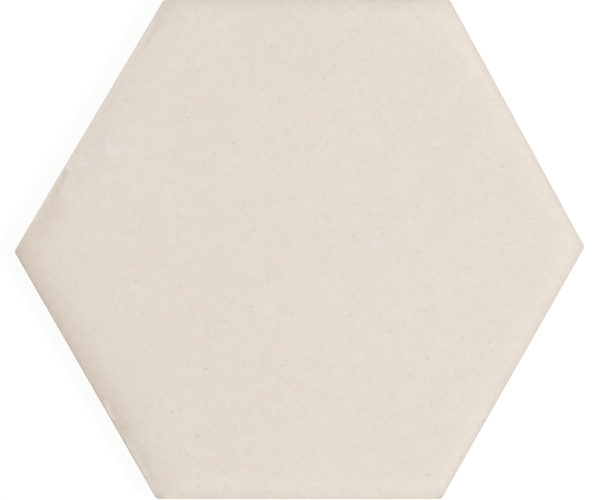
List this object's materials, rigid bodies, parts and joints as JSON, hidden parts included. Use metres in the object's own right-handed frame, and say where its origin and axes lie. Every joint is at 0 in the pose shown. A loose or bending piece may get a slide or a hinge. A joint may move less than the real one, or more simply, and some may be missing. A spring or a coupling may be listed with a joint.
{
  "type": "hexagon floor tile",
  "caption": "Glazed hexagonal floor tile with softly rolled edges, a mottled cream face and a ribbed key pattern pressed into its back.",
  "frame": {"origin": "middle of the back, on the plane of the rib crests that the tile lies on", "axes": "+Z out of the glazed face, +X towards the east tip along the longest extent, +Y towards the north side"},
  "size_m": [0.1994, 0.175, 0.009],
  "materials": {
    "glaze": "satin"
  },
  "bodies": {
    "root": {"hexagon_tile": "glaze"}
  },
  "joints": []
}
